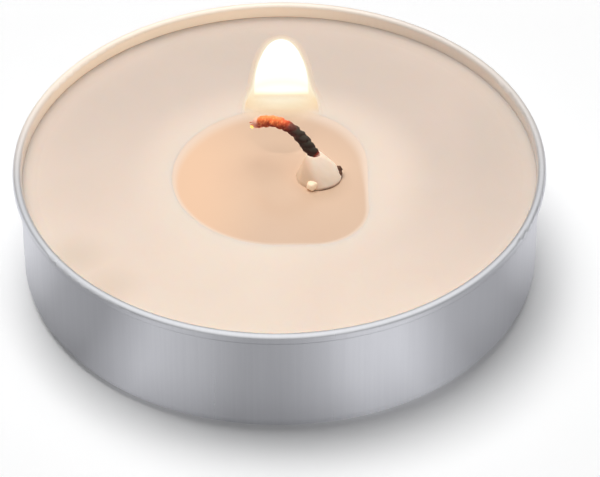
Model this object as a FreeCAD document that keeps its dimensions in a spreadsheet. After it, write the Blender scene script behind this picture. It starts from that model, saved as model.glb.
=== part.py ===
import FreeCAD, Part
import math
import os
import Sketcher

# Tea light candle: wax and a wick in a drawn aluminium cup, alight.
# Millimetres, +Z up. The origin is on the floor, in the middle of the ring that the cup rests on.
# The front is towards -Y. The wick stands off centre, and its burnt end curls over to the back left.

# The driving dimensions: alias, value and what it measures.
SIZES = (
    ("body_diameter", 38.0, "outside of the cup's wall, the size that holders are made for"),
    ("cup_height", 9.3, "floor to the top of the rim"),
    ("sheet_gauge", 0.15, "aluminium sheet"),
    ("foot_corner_radius", 1.0, "outside, where the wall turns into the base"),
    ("bead_width", 0.65, "curled rim, from the inside of the wall outwards"),
    ("bead_straight", 0.2, "curled rim, between its round top and its round underside"),
    ("curl_gap", 0.05, "between the end of the curl and the wall"),
    ("resting_ring_width", 3.1, "flat ring under the cup, between its foot and its raised panel"),
    ("panel_rise", 0.35, "height of the raised panel over the resting ring"),
    ("panel_bend_radius", 0.6, "inside of the two bends round the panel"),
    ("headspace", 1.3, "top of the rim down to the wax"),
    ("meniscus_rise", 0.25, "how far the wax climbs the wall"),
    ("meniscus_radius", 2.5, "curve of the climbing edge"),
    ("pool_radius", 7.85, "left half of the melted pool"),
    ("pool_reach", 6.45, "middle of the pool to its flat right side"),
    ("pool_corner_radius", 4.0, "front right corner of the pool"),
    ("pool_offset_y", -0.2, "middle of the pool, from the middle of the cup"),
    ("pool_drop", 0.06, "wax surface down to the melted wax"),
    ("pool_depth", 1.3, "wax surface down to the floor of the dish"),
    ("pool_wall_angle", 40.0, "slope of the dish's side, from upright"),
    ("pool_floor_radius", 0.8, "round between the dish's side and floor"),
    ("pool_lip_radius", 0.2, "softened edge of the dish"),
    ("wick_diameter", 1.1, "cotton wick"),
    ("wick_offset_x", 2.95, "foot of the wick, to the right of the middle"),
    ("wick_offset_y", -0.33, "foot of the wick, from the middle, negative to the front"),
    ("wick_bearing", 158.0, "way that the wick leans, in degrees from +X"),
    ("wick_upright", 0.7, "wax surface to where the wick starts to bend"),
    ("wick_bend_radius", 2.0, "bend where the wick starts to lean"),
    ("wick_lean", 39.3, "lean of the wick over its foot, in degrees from upright"),
    ("wick_straight", 1.59, "leaning stretch between the bend and the curl"),
    ("wick_curl_radius", 2.46, "curl of the burnt end"),
    ("wick_curl_angle", 91.0, "turn of the curl, in degrees"),
    ("primed_diameter", 3.2, "swollen foot of the wick, at the melted wax"),
    ("primed_shoulder_diameter", 2.4, "swollen foot of the wick, at half its height"),
    ("primed_height", 2.05, "wax surface to the top of the swollen foot"),
    ("primed_ledge", 0.1, "top of the swollen foot, round the wick"),
    ("tab_diameter", 12.5, "disc of the wick holder"),
    ("tab_gauge", 0.2, "tinplate sheet"),
    ("tab_neck_height", 3.2, "underside of the disc to the top of its neck"),
    ("tab_bend_radius", 0.5, "round between the disc and the neck"),
    ("flame_setback", 0.4, "middle of the flame from the top of the wick's curl, towards its foot"),
    ("flame_lift", 1.5, "top of the wick's curl to the widest place of the flame"),
    ("flame_width", 4.7, "flame at its widest"),
    ("flame_rise", 6.1, "widest place of the flame to its tip"),
    ("flame_tip_radius", 1.15, "round of the flame's tip"),
)
SIZE = {alias: value for alias, value, meaning in SIZES}

# Heights and reaches that several pieces share, written for the sheet's expressions.
PANEL_TOP = "(sizes.panel_rise + sizes.sheet_gauge)"
WAX_LEVEL = "(sizes.cup_height - sizes.headspace)"
POOL_FLOOR = "(sizes.cup_height - sizes.headspace - sizes.pool_depth)"
LEAN = "(sizes.wick_lean * 1 deg)"
# How far the wick has moved off its foot, level and up from the wax, where it leaves its bend.
BEND_REACH = "(sizes.wick_bend_radius * (1 - cos" + LEAN + "))"
BEND_HEIGHT = "(sizes.wick_upright + sizes.wick_bend_radius * sin" + LEAN + ")"
# The same at the top of its curl.
CURL_REACH = (
    "(" + BEND_REACH + " + sizes.wick_straight * sin" + LEAN
    + " + sizes.wick_curl_radius * cos" + LEAN + ")"
)
CURL_HEIGHT = (
    "(" + BEND_HEIGHT + " + sizes.wick_straight * cos" + LEAN
    + " + sizes.wick_curl_radius * (1 - sin" + LEAN + "))"
)
PRIMED_LEAN = "(" + BEND_REACH + " + (sizes.primed_height - " + BEND_HEIGHT + ") * tan" + LEAN + ")"

# The same in numbers, from which each sketch starts before its constraints hold it.
wall = SIZE["body_diameter"] / 2
gauge = SIZE["sheet_gauge"]
inner_wall = wall - gauge
panel_top = SIZE["panel_rise"] + gauge
wax_level = SIZE["cup_height"] - SIZE["headspace"]
lean = math.radians(SIZE["wick_lean"])
bend_reach = SIZE["wick_bend_radius"] * (1 - math.cos(lean))
bend_height = wax_level + SIZE["wick_upright"] + SIZE["wick_bend_radius"] * math.sin(lean)
curl_start_reach = bend_reach + SIZE["wick_straight"] * math.sin(lean)
curl_start_height = bend_height + SIZE["wick_straight"] * math.cos(lean)
curl_reach = curl_start_reach + SIZE["wick_curl_radius"] * math.cos(lean)
curl_middle = curl_start_height - SIZE["wick_curl_radius"] * math.sin(lean)

# Places on a sketch's line or arc, and the sketch's own origin and axes.
START, END, CENTRE = range(1, 4)
ORIGIN = (-1, START)
LEVEL_AXIS = -1
UPRIGHT_AXIS = -2
TOLERANCE = 1e-5


def point(x, y):
    """Give the point of a sketch at x, y."""
    return FreeCAD.Vector(x, y, 0)


class Outline:
    """A run of lines and arcs in a sketch, each joined to the one before it."""

    def __init__(self, sketch, x, y):
        self.sketch = sketch
        self.pen = point(x, y)
        self.first = None
        self.last = None

    def join(self, index, start, end, smooth):
        """Tie the start of the new piece to the end of the last one, tangent where smooth."""
        if self.last is None:
            self.first = (index, start)
        else:
            rule(self.sketch, "Tangent" if smooth else "Coincident", *self.last, index, start)
        self.last = (index, end)
        return index

    def line_to(self, x, y, smooth=True):
        """Draw a line from the pen and give its number in the sketch."""
        goal = point(x, y)
        index = self.sketch.addGeometry(Part.LineSegment(self.pen, goal), False)
        self.pen = goal
        return self.join(index, START, END, smooth)

    def arc_about(self, x, y, radius, start, end, smooth=True):
        """Draw an arc about x, y from one angle to another, in degrees, either way round."""
        circle = Part.Circle(point(x, y), FreeCAD.Vector(0, 0, 1), radius)
        low, high = sorted((math.radians(start), math.radians(end)))
        index = self.sketch.addGeometry(Part.ArcOfCircle(circle, low, high), False)
        self.pen = point(x + radius * math.cos(math.radians(end)), y + radius * math.sin(math.radians(end)))
        if end > start:
            return self.join(index, START, END, smooth)
        return self.join(index, END, START, smooth)

    def close(self):
        """Draw the last line, back to the start, with a corner at both its ends."""
        goal = self.sketch.getPoint(*self.first)
        index = self.line_to(goal.x, goal.y, smooth=False)
        rule(self.sketch, "Coincident", *self.last, *self.first)
        return index


def rule(sketch, kind, *places):
    """Add a geometric constraint."""
    sketch.addConstraint(Sketcher.Constraint(kind, *places))


def bind(sketch, name, expression, kind, value, *places):
    """Add a dimension that starts at its present value and bind it to the sheet."""
    index = sketch.addConstraint(Sketcher.Constraint(kind, *places, value))
    sketch.renameConstraint(index, name)
    sketch.setExpression("Constraints." + name, expression)


def bind_radius(sketch, index, name, expression):
    """Bind the radius of an arc or a circle."""
    bind(sketch, name, expression, "Radius", sketch.Geometry[index].Radius, index)


def bind_across(sketch, left, right, name, expression):
    """Bind how far one place is to the right of another."""
    value = sketch.getPoint(*right).x - sketch.getPoint(*left).x
    bind(sketch, name, expression, "DistanceX", value, *left, *right)


def bind_up(sketch, low, high, name, expression):
    """Bind how far one place is above another."""
    value = sketch.getPoint(*high).y - sketch.getPoint(*low).y
    bind(sketch, name, expression, "DistanceY", value, *low, *high)


def new_body(label):
    """Make an empty body with its own label."""
    body = doc.addObject("PartDesign::Body", label)
    body.Label = label
    return body


def new_sketch(body, name, plane, height=None):
    """Make a sketch on one of the body's own origin planes, raised by height."""
    sketch = body.newObject("Sketcher::SketchObject", name)
    support = next(item for item in body.Origin.OriginFeatures if item.Role == plane)
    sketch.AttachmentSupport = [(support, "")]
    sketch.MapMode = "FlatFace"
    if height is not None:
        sketch.setExpression("AttachmentOffset.Base.z", height)
    return sketch


def revolve(body, sketch):
    """Turn a section once round the body's upright axis."""
    turned = body.newObject("PartDesign::Revolution", body.Label + "_turned")
    turned.Profile = sketch
    turned.ReferenceAxis = (sketch, ["V_Axis"])
    turned.Angle = 360
    return turned


def circle_sketch(body, name, height, diameter, shift=None):
    """Draw a level circle round the upright axis, or shifted along X from it."""
    sketch = new_sketch(body, name, "XY_Plane", height)
    circle = Part.Circle(point(0, 0), FreeCAD.Vector(0, 0, 1), 1.0)
    ring = sketch.addGeometry(circle, False)
    if shift is None:
        rule(sketch, "Coincident", ring, CENTRE, *ORIGIN)
    else:
        rule(sketch, "PointOnObject", ring, CENTRE, LEVEL_AXIS)
        bind_across(sketch, ORIGIN, (ring, CENTRE), "shift", shift)
    bind_radius(sketch, ring, "radius", diameter + " / 2")
    return sketch


def stand_on_wick_foot(body):
    """Place a body where the wick stands, turned the way that the wick leans."""
    body.Placement = FreeCAD.Placement(point(0, 0), FreeCAD.Rotation(FreeCAD.Vector(0, 0, 1), 1))
    body.setExpression("Placement.Base.x", "sizes.wick_offset_x")
    body.setExpression("Placement.Base.y", "sizes.wick_offset_y")
    body.setExpression("Placement.Rotation.Angle", "sizes.wick_bearing * 1 deg")


def cup_inside(sketch, top):
    """Draw the inside of the cup from the middle of its floor up the wall to top.

    Gives the outline, and the numbers of the two panel bends, the corner and the wall.
    """
    bend = SIZE["panel_bend_radius"]
    corner = SIZE["foot_corner_radius"]
    # The two bends round the panel meet where their radii are in line.
    reach = 2 * bend + gauge
    drop = reach - SIZE["panel_rise"]
    run = math.sqrt(reach ** 2 - drop ** 2)
    slope = math.degrees(math.atan2(drop, run))
    panel = wall - corner - SIZE["resting_ring_width"] - run

    inside = Outline(sketch, 0, panel_top)
    panel_floor = inside.line_to(panel, panel_top)
    crown = inside.arc_about(panel, panel_top - bend - gauge, bend + gauge, 90, slope)
    trough = inside.arc_about(panel + run, bend + gauge, bend, 180 + slope, 270)
    ring_floor = inside.line_to(wall - corner, gauge)
    foot = inside.arc_about(wall - corner, corner, corner - gauge, 270, 360)
    side = inside.line_to(inner_wall, top)

    rule(sketch, "Horizontal", panel_floor)
    rule(sketch, "Horizontal", ring_floor)
    rule(sketch, "Vertical", side)
    rule(sketch, "PointOnObject", panel_floor, START, UPRIGHT_AXIS)
    bind_up(sketch, ORIGIN, (panel_floor, START), "panel_top", PANEL_TOP)
    bind_across(sketch, (ring_floor, START), (ring_floor, END), "resting_ring", "sizes.resting_ring_width")
    bind_radius(sketch, crown, "crown_radius", "sizes.panel_bend_radius + sizes.sheet_gauge")
    bind_radius(sketch, trough, "trough_radius", "sizes.panel_bend_radius")
    bind_up(sketch, ORIGIN, (ring_floor, START), "ring_floor", "sizes.sheet_gauge")
    bind_radius(sketch, foot, "inner_corner", "sizes.foot_corner_radius - sizes.sheet_gauge")
    bind_across(sketch, ORIGIN, (side, START), "inner_wall", "sizes.body_diameter / 2 - sizes.sheet_gauge")
    return inside, crown, trough, foot, side


def make_cup():
    """One drawn piece of sheet: raised panel, rounded foot, wall and a rim curled outwards."""
    body = new_body("cup")
    sketch = new_sketch(body, "cup_section", "XZ_Plane")
    curl = SIZE["bead_width"] / 2
    top = SIZE["cup_height"] - curl
    low = top - SIZE["bead_straight"]
    middle = inner_wall + curl
    end = math.degrees(math.asin((curl - gauge - SIZE["curl_gap"]) / curl)) + 90
    corner = SIZE["foot_corner_radius"]
    section, crown, trough, foot, side = cup_inside(sketch, top)
    slope = math.degrees(sketch.Geometry[crown].FirstParameter)
    crown_middle = sketch.getPoint(crown, CENTRE)
    trough_middle = sketch.getPoint(trough, CENTRE)

    over = section.arc_about(middle, top, curl, 180, 0)
    outside = section.line_to(middle + curl, low)
    under = section.arc_about(middle, low, curl, 0, -end)
    inner_end = section.pen + (point(middle, low) - section.pen) * (gauge / curl)
    sheet_end = section.line_to(inner_end.x, inner_end.y, smooth=False)
    under_inner = section.arc_about(middle, low, curl - gauge, -end, 0, smooth=False)
    outside_inner = section.line_to(middle + curl - gauge, top)
    over_inner = section.arc_about(middle, top, curl - gauge, 0, 180)
    face = section.line_to(wall, corner)
    heel = section.arc_about(wall - corner, corner, corner, 0, -90)
    ring = section.line_to(trough_middle.x, 0)
    trough_under = section.arc_about(
        trough_middle.x, trough_middle.y, trough_middle.y, 270, 180 + slope
    )
    crown_under = section.arc_about(
        crown_middle.x, crown_middle.y, SIZE["panel_bend_radius"], slope, 90
    )
    panel = section.line_to(0, SIZE["panel_rise"])
    section.close()

    for level in (ring, panel):
        rule(sketch, "Horizontal", level)
    for upright in (outside, outside_inner, face):
        rule(sketch, "Vertical", upright)
    for inner, outer in ((under_inner, under), (over_inner, over), (heel, foot),
                         (trough_under, trough), (crown_under, crown)):
        rule(sketch, "Coincident", inner, CENTRE, outer, CENTRE)
    rule(sketch, "Vertical", over, CENTRE, under, CENTRE)
    rule(sketch, "PointOnObject", under, CENTRE, sheet_end)
    rule(sketch, "PointOnObject", panel, END, UPRIGHT_AXIS)
    bind_radius(sketch, over, "bead_radius", "sizes.bead_width / 2")
    bind_up(sketch, ORIGIN, (over, CENTRE), "bead_top", "sizes.cup_height - sizes.bead_width / 2")
    bind_up(sketch, (under, CENTRE), (over, CENTRE), "bead_straight", "sizes.bead_straight")
    bind_across(sketch, ORIGIN, (face, START), "outer_wall", "sizes.body_diameter / 2")
    bind_across(sketch, (face, START), (sheet_end, START), "curl_gap", "sizes.curl_gap")
    revolve(body, sketch)
    return body


def make_wax_blank():
    """The wax as it stands in the cup, with its climbing edge and the dish that the flame has melted."""
    body = new_body("wax_blank")
    sketch = new_sketch(body, "wax_section", "XZ_Plane")
    rise = SIZE["meniscus_rise"]
    radius = SIZE["meniscus_radius"]
    run = math.sqrt(2 * radius * rise - rise ** 2)
    section, *bends, side = cup_inside(sketch, wax_level + rise)
    edge_angle = math.degrees(math.atan2(rise - radius, run))
    edge = section.arc_about(inner_wall - run, wax_level + radius, radius, edge_angle, -90, smooth=False)
    surface = section.line_to(0, wax_level)
    section.close()
    rule(sketch, "Horizontal", surface)
    rule(sketch, "PointOnObject", surface, END, UPRIGHT_AXIS)
    bind_radius(sketch, edge, "meniscus_radius", "sizes.meniscus_radius")
    bind_up(sketch, ORIGIN, (side, END), "wax_edge", WAX_LEVEL + " + sizes.meniscus_rise")
    bind_up(sketch, ORIGIN, (surface, END), "wax_level", WAX_LEVEL)
    revolve(body, sketch)

    dish = body.newObject("PartDesign::Pocket", "dish")
    dish.Profile = pool_outline(body, "dish_outline", WAX_LEVEL)
    dish.setExpression("Length", "sizes.pool_depth")
    dish.setExpression("TaperAngle", "-sizes.pool_wall_angle * 1 deg")
    doc.recompute()
    floor_edges = edges_at(dish, wax_level - SIZE["pool_depth"])
    rounded_floor = body.newObject("PartDesign::Fillet", "dish_floor_round")
    rounded_floor.Base = (dish, floor_edges)
    rounded_floor.setExpression("Radius", "sizes.pool_floor_radius")
    doc.recompute()
    lip = body.newObject("PartDesign::Fillet", "dish_lip_round")
    lip.Base = (rounded_floor, edges_at(rounded_floor, wax_level, (SIZE["pool_radius"] + inner_wall) / 2))
    lip.setExpression("Radius", "sizes.pool_lip_radius")
    return body


def edges_at(feature, height, reach=math.inf):
    """Name the edges of a feature that lie level at a height, within reach of the middle."""
    names = []
    for number, edge in enumerate(feature.Shape.Edges, start=1):
        box = edge.BoundBox
        level = abs(box.ZMin - height) < TOLERANCE and abs(box.ZMax - height) < TOLERANCE
        if level and max(box.XMax, -box.XMin, box.YMax, -box.YMin) < reach:
            names.append("Edge%d" % number)
    return names


def pool_outline(body, name, height):
    """The edge of the melted wax: round to the left, flatter to the front and to the right."""
    sketch = new_sketch(body, name, "XY_Plane", height)
    sketch.setExpression("AttachmentOffset.Base.y", "sizes.pool_offset_y")
    radius = SIZE["pool_radius"]
    reach = SIZE["pool_reach"]
    corner = SIZE["pool_corner_radius"]

    outline = Outline(sketch, 0, radius)
    left = outline.arc_about(0, 0, radius, 90, 270)
    front = outline.line_to(reach - corner, -radius)
    front_right = outline.arc_about(reach - corner, corner - radius, corner, 270, 360)
    right = outline.line_to(reach, radius - reach)
    back_right = outline.arc_about(0, radius - reach, reach, 0, 90)
    rule(sketch, "Tangent", *outline.last, *outline.first)

    rule(sketch, "Coincident", left, CENTRE, *ORIGIN)
    rule(sketch, "Horizontal", front)
    rule(sketch, "Vertical", right)
    rule(sketch, "PointOnObject", back_right, CENTRE, UPRIGHT_AXIS)
    bind_radius(sketch, left, "pool_radius", "sizes.pool_radius")
    bind_radius(sketch, front_right, "corner_radius", "sizes.pool_corner_radius")
    bind_across(sketch, ORIGIN, (right, START), "reach", "sizes.pool_reach")
    return sketch


def make_pool_blank():
    """A block over the dish, from its floor to the level of the melted wax."""
    body = new_body("pool_blank")
    block = body.newObject("PartDesign::Pad", "pool_block")
    block.Profile = pool_outline(body, "pool_edge", POOL_FLOOR)
    block.setExpression("Length", "sizes.pool_depth - sizes.pool_drop")
    return body


def make_wick():
    """The cotton wick: a stem that bends, leans and curls over, and its swollen primed foot."""
    body = new_body("wick")
    stem = circle_sketch(body, "stem_section", PANEL_TOP, "sizes.wick_diameter")
    path = new_sketch(body, "wick_path", "XZ_Plane")
    bend = SIZE["wick_bend_radius"]
    bend_start = wax_level + SIZE["wick_upright"]
    bend_end = 180 - SIZE["wick_lean"]

    run = Outline(path, 0, panel_top)
    upright = run.line_to(0, bend_start)
    knee = run.arc_about(bend, bend_start, bend, 180, bend_end)
    leaning = run.line_to(curl_start_reach, curl_start_height)
    curl = run.arc_about(curl_reach, curl_middle, SIZE["wick_curl_radius"], bend_end,
                         bend_end - SIZE["wick_curl_angle"])

    rule(path, "Vertical", upright)
    rule(path, "PointOnObject", upright, START, UPRIGHT_AXIS)
    bind_up(path, ORIGIN, (upright, START), "foot", PANEL_TOP)
    bind_up(path, ORIGIN, (upright, END), "bend_start", WAX_LEVEL + " + sizes.wick_upright")
    bind_radius(path, knee, "bend_radius", "sizes.wick_bend_radius")
    bind(path, "lean", "sizes.wick_lean * 1 deg", "Angle", lean, knee)
    bind(path, "straight", "sizes.wick_straight", "Distance", SIZE["wick_straight"], leaning)
    bind_radius(path, curl, "curl_radius", "sizes.wick_curl_radius")
    bind(path, "curl_angle", "sizes.wick_curl_angle * 1 deg", "Angle",
         math.radians(SIZE["wick_curl_angle"]), curl)
    doc.recompute()

    cord = body.newObject("PartDesign::AdditivePipe", "wick_stem")
    cord.Profile = stem
    cord.Spine = (path, ["Edge%d" % (number + 1) for number in (upright, knee, leaning, curl)])
    doc.recompute()

    foot = body.newObject("PartDesign::AdditiveLoft", "primed_foot")
    foot.Profile = circle_sketch(body, "foot_base", POOL_FLOOR, "sizes.primed_diameter")
    foot.Sections = [
        circle_sketch(body, "foot_waist", WAX_LEVEL, "sizes.primed_diameter"),
        circle_sketch(body, "foot_shoulder", WAX_LEVEL + " + sizes.primed_height / 2",
                      "sizes.primed_shoulder_diameter", PRIMED_LEAN + " / 3"),
        circle_sketch(body, "foot_top", WAX_LEVEL + " + sizes.primed_height",
                      "sizes.wick_diameter / cos" + LEAN + " + 2 * sizes.primed_ledge", PRIMED_LEAN),
    ]
    stand_on_wick_foot(body)
    return body


def make_wick_tab():
    """Tinplate holder: a disc on the floor of the cup, with a neck drawn up tight round the wick."""
    body = new_body("wick_tab")
    sketch = new_sketch(body, "tab_section", "XZ_Plane")
    bore = SIZE["wick_diameter"] / 2
    neck = bore + SIZE["tab_gauge"]
    disc_top = panel_top + SIZE["tab_gauge"]
    bend = SIZE["tab_bend_radius"]
    rim = SIZE["tab_diameter"] / 2

    section = Outline(sketch, bore, panel_top)
    under = section.line_to(rim, panel_top)
    edge = section.line_to(rim, disc_top, smooth=False)
    disc = section.line_to(neck + bend, disc_top, smooth=False)
    root = section.arc_about(neck + bend, disc_top + bend, bend, 270, 180)
    side = section.line_to(neck, panel_top + SIZE["tab_neck_height"])
    mouth = section.line_to(bore, panel_top + SIZE["tab_neck_height"], smooth=False)
    grip = section.close()

    for level in (under, disc, mouth):
        rule(sketch, "Horizontal", level)
    for upright in (edge, side, grip):
        rule(sketch, "Vertical", upright)
    bind_up(sketch, ORIGIN, (under, START), "seat", PANEL_TOP)
    bind_across(sketch, ORIGIN, (under, START), "bore", "sizes.wick_diameter / 2")
    bind_across(sketch, ORIGIN, (edge, START), "rim", "sizes.tab_diameter / 2")
    bind_up(sketch, (edge, START), (edge, END), "gauge", "sizes.tab_gauge")
    bind_radius(sketch, root, "root_radius", "sizes.tab_bend_radius")
    bind_across(sketch, (mouth, END), (mouth, START), "neck_gauge", "sizes.tab_gauge")
    bind_up(sketch, (under, START), (mouth, END), "neck_height", "sizes.tab_neck_height")
    revolve(body, sketch)
    stand_on_wick_foot(body)
    return body


def make_flame_blank():
    """The flame: round below, with sides that draw in to a small round tip.

    It stands over the wick's curl, so it is drawn on the wick's own foot and axis.
    """
    body = new_body("flame_blank")
    sketch = new_sketch(body, "flame_section", "XZ_Plane")
    sketch.setExpression("AttachmentOffset.Base.x", CURL_REACH + " - sizes.flame_setback")
    base = SIZE["flame_width"] / 2
    rise = SIZE["flame_rise"] - SIZE["flame_tip_radius"]
    widest = curl_middle + SIZE["wick_curl_radius"] + SIZE["flame_lift"]
    tip = SIZE["flame_tip_radius"]
    # The side is upright at the widest place and tangent to the tip.
    side_radius = (base ** 2 + rise ** 2 - tip ** 2) / (2 * (base - tip))
    slope = math.degrees(math.atan2(rise, side_radius - base))

    section = Outline(sketch, 0, widest - base)
    bowl = section.arc_about(0, widest, base, 270, 360)
    side = section.arc_about(base - side_radius, widest, side_radius, 0, slope)
    crown = section.arc_about(0, widest + rise, tip, slope, 90)
    section.close()
    rule(sketch, "PointOnObject", bowl, CENTRE, UPRIGHT_AXIS)
    rule(sketch, "PointOnObject", bowl, START, UPRIGHT_AXIS)
    rule(sketch, "Horizontal", bowl, CENTRE, side, CENTRE)
    rule(sketch, "PointOnObject", crown, CENTRE, UPRIGHT_AXIS)
    rule(sketch, "PointOnObject", crown, END, UPRIGHT_AXIS)
    bind_radius(sketch, bowl, "half_width", "sizes.flame_width / 2")
    bind_radius(sketch, crown, "tip_radius", "sizes.flame_tip_radius")
    bind_up(sketch, ORIGIN, (bowl, CENTRE), "widest",
            WAX_LEVEL + " + " + CURL_HEIGHT + " + sizes.flame_lift")
    bind_up(sketch, (bowl, CENTRE), (crown, END), "rise", "sizes.flame_rise")
    revolve(body, sketch)
    stand_on_wick_foot(body)
    return body


def cut(label, base, *tools):
    """Take the other pieces' shapes out of a blank, so that it fits round them."""
    if len(tools) == 1:
        tool = tools[0]
    else:
        tool = doc.addObject("Part::MultiFuse", label + "_room")
        tool.Shapes = list(tools)
    result = doc.addObject("Part::Cut", label)
    result.Label = label
    result.Base = base
    result.Tool = tool
    return result


def fill_sheet():
    """Write the driving dimensions, one to a row, with what each one measures."""
    sheet = doc.addObject("Spreadsheet::Sheet", "sizes")
    for row, (alias, value, meaning) in enumerate(SIZES, start=1):
        sheet.set("A%d" % row, meaning)
        sheet.set("B%d" % row, str(value))
        sheet.setAlias("B%d" % row, alias)
    doc.recompute()


doc = FreeCAD.newDocument("tea_light_candle")
fill_sheet()
cup = make_cup()
wax_blank = make_wax_blank()
pool_blank = make_pool_blank()
wick = make_wick()
wick_tab = make_wick_tab()
flame_blank = make_flame_blank()
wax = cut("wax", wax_blank, wick, wick_tab)
melted_wax = cut("melted_wax", pool_blank, wax_blank, wick)
flame = cut("flame", flame_blank, wick)
doc.recompute()

for item in doc.Objects:
    if "Invalid" in item.State or "Error" in item.State:
        raise RuntimeError("failed: " + item.Label)
    if item.isDerivedFrom("Sketcher::SketchObject") and item.solve() != 0:
        raise RuntimeError("unsolved: " + item.Label)

PIECES = (cup, wax, melted_wax, wick_tab, wick, flame)
for piece in PIECES:
    if piece.Shape.isNull() or not piece.Shape.isValid():
        raise RuntimeError("bad shape: " + piece.Label)

os.makedirs("parts", exist_ok=True)
for piece in PIECES:
    piece.Shape.exportStep("parts/%s.step" % piece.Label)
    print(piece.Label, len(piece.Shape.Solids), "solid,", round(piece.Shape.Volume, 2), "mm3")
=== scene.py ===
"""The looks of a lit tea light candle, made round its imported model.

Metres, +Z up, the front towards -Y. The cup, the solid wax and the wick's holder keep their modelled
solids and get their finish here. The melted wax, the braided wick with its swollen foot, and the flame
are detailed pieces that stand for their plain solids.
"""
import math

import bmesh
import bpy
from mathutils import Matrix, Vector


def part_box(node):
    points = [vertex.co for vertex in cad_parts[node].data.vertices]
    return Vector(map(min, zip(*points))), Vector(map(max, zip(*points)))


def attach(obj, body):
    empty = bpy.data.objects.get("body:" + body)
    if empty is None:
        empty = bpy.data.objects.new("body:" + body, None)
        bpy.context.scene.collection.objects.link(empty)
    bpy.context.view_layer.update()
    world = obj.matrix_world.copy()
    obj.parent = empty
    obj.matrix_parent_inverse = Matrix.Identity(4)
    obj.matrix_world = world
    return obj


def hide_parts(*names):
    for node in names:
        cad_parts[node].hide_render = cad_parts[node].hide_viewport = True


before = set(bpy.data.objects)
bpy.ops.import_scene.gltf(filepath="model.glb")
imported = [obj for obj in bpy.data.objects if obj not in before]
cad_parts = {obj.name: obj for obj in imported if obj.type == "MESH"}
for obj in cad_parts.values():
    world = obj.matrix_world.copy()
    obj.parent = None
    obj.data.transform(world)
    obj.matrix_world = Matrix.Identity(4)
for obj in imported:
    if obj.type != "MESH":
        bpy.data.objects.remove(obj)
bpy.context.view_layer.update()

MM = 0.001
SEED = 7

# The camera that took the photograph, found from the cup's rim, foot and height.
CAMERA_DISTANCE = 280 * MM
CAMERA_ELEVATION = math.radians(39.544)
CAMERA_ROLL = math.radians(-0.346)
CAMERA_LENS = 228.09
CAMERA_SENSOR = 36.0
CAMERA_HEIGHT = 6 * MM
CAMERA_AIM_RIGHT = 1.463 * MM
CAMERA_AIM_UP = -3.231 * MM

# Levels in the cup: the flat wax as in the part, and the pool's read from its modelled solid.
WAX_FLAT = 8.0 * MM
POOL_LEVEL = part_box("melted_wax")[1][2]
POOL_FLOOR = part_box("melted_wax")[0][2]

# The wick: its foot on the wax, the way that it leans, and its course as in the part.
WICK_FOOT = Vector((2.95 * MM, -0.33 * MM, 0.0))
WICK_BEARING = math.radians(158.0)
WICK_UPRIGHT = 0.7 * MM
WICK_BEND_RADIUS = 2.0 * MM
WICK_LEAN = math.radians(39.3)
WICK_STRAIGHT = 1.59 * MM
WICK_CURL_RADIUS = 2.46 * MM
WICK_CURL_ANGLE = math.radians(91.0)
BEND_STEPS = 8
CURL_STEPS = 24
BRAID_STEPS = 220
YARN_SIDES = 12

# How full the wick is along its course: swollen where it is black, thin where it glows.
FULLNESS_AT_START = 0.75
WICK_FULLNESS = ((0.34, 0.5), (0.385, 0.66), (0.44, 0.94), (0.5, 1.05), (0.57, 0.88), (0.65, 0.63),
                 (0.76, 0.66), (0.88, 0.7), (0.96, 0.6))
FULLNESS_AT_END = 0.45

# The loose fibres at the wick's end: sideways, up and length in millimetres.
FIBRES = ((-0.2, 0.12, 0.42), (-0.05, -0.1, 0.5), (0.12, 0.16, 0.34), (0.22, -0.05, 0.45),
          (0.04, 0.2, 0.5), (-0.12, 0.02, 0.36))

# The flame over the wick's curl: its axis, and the heights that its colours run between.
FLAME_AXIS = Vector((0.2 * MM, 0.78 * MM, 0.0))
FLAME_TIP = 19.7 * MM
FLAME_ROOT = 11.6 * MM
FLAME_STEPS = 60
FLAME_SIDES = 64

# How strongly the flame's shells glow, and how steeply their zones fall towards the back.
CORE_STRENGTH = 2.3
CORE_SLANT = 0.8
SHELL_STRENGTH = 1.0
SHELL_SLANT = 1.2

# How far the two faint skins stand off the skirt, and how much more they flare below a height.
VEIL_GAP = 0.12 * MM
VEIL_FLARE = 0.14 * MM
HALO_GAP = 0.36 * MM
HALO_FLARE = 0.2 * MM
FLARE_TOP = 15.6 * MM
FLARE_DROP = 2.4 * MM

# The pool: its edge as in the part, and its section from the dish's floor up and in over its face, as insets
# from the edge and levels in millimetres.
POOL_RADIUS = 7.85 * MM
POOL_REACH = 6.45 * MM
POOL_CORNER = 4.0 * MM
POOL_OFFSET = -0.2 * MM
POOL_MIDDLE = (-0.4 * MM, -0.3 * MM)
POOL_MIDDLE_INSET = 6.0
POOL_ARC_STEPS = 40
POOL_SECTION = (
    (1.6, 6.72), (1.15, 6.75), (0.3, 7.8), (-0.12, 7.97), (-0.1, 7.985), (0.0, 7.98), (0.06, 7.97),
    (0.14, 7.958), (0.3, 7.946), (0.6, 7.941), (1.0, 7.94), (1.6, 7.94), (2.4, 7.94), (3.4, 7.94))

# The wick's swollen foot: its height, its lean at that height, the level where it meets the pool's face, and
# the height over which the side that is drawn out there fades.
FOOT_HEIGHT = 2.05 * MM
FOOT_LEAN = 0.5 * MM
FOOT_WATERLINE = -0.16 * MM
FOOT_FADE = 0.5 * MM
FOOT_SIDES = 96

# How far the foot is drawn out at the pool, and the height of its lumps and its grain, in millimetres.
FOOT_DRAWN_OUT = 0.18
FOOT_LUMPS = 0.018
FOOT_GRAIN = 0.008

# The foot's half width at heights over the flat wax.
FOOT_PROFILE = [(level * MM, width * MM) for level, width in (
    (-1.3, 1.56), (0.0, 1.6), (0.16, 1.58), (0.4, 1.48), (0.8, 1.29), (1.2, 1.06), (1.6, 0.8), (1.9, 0.58),
    (2.0, 0.48))]

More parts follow.
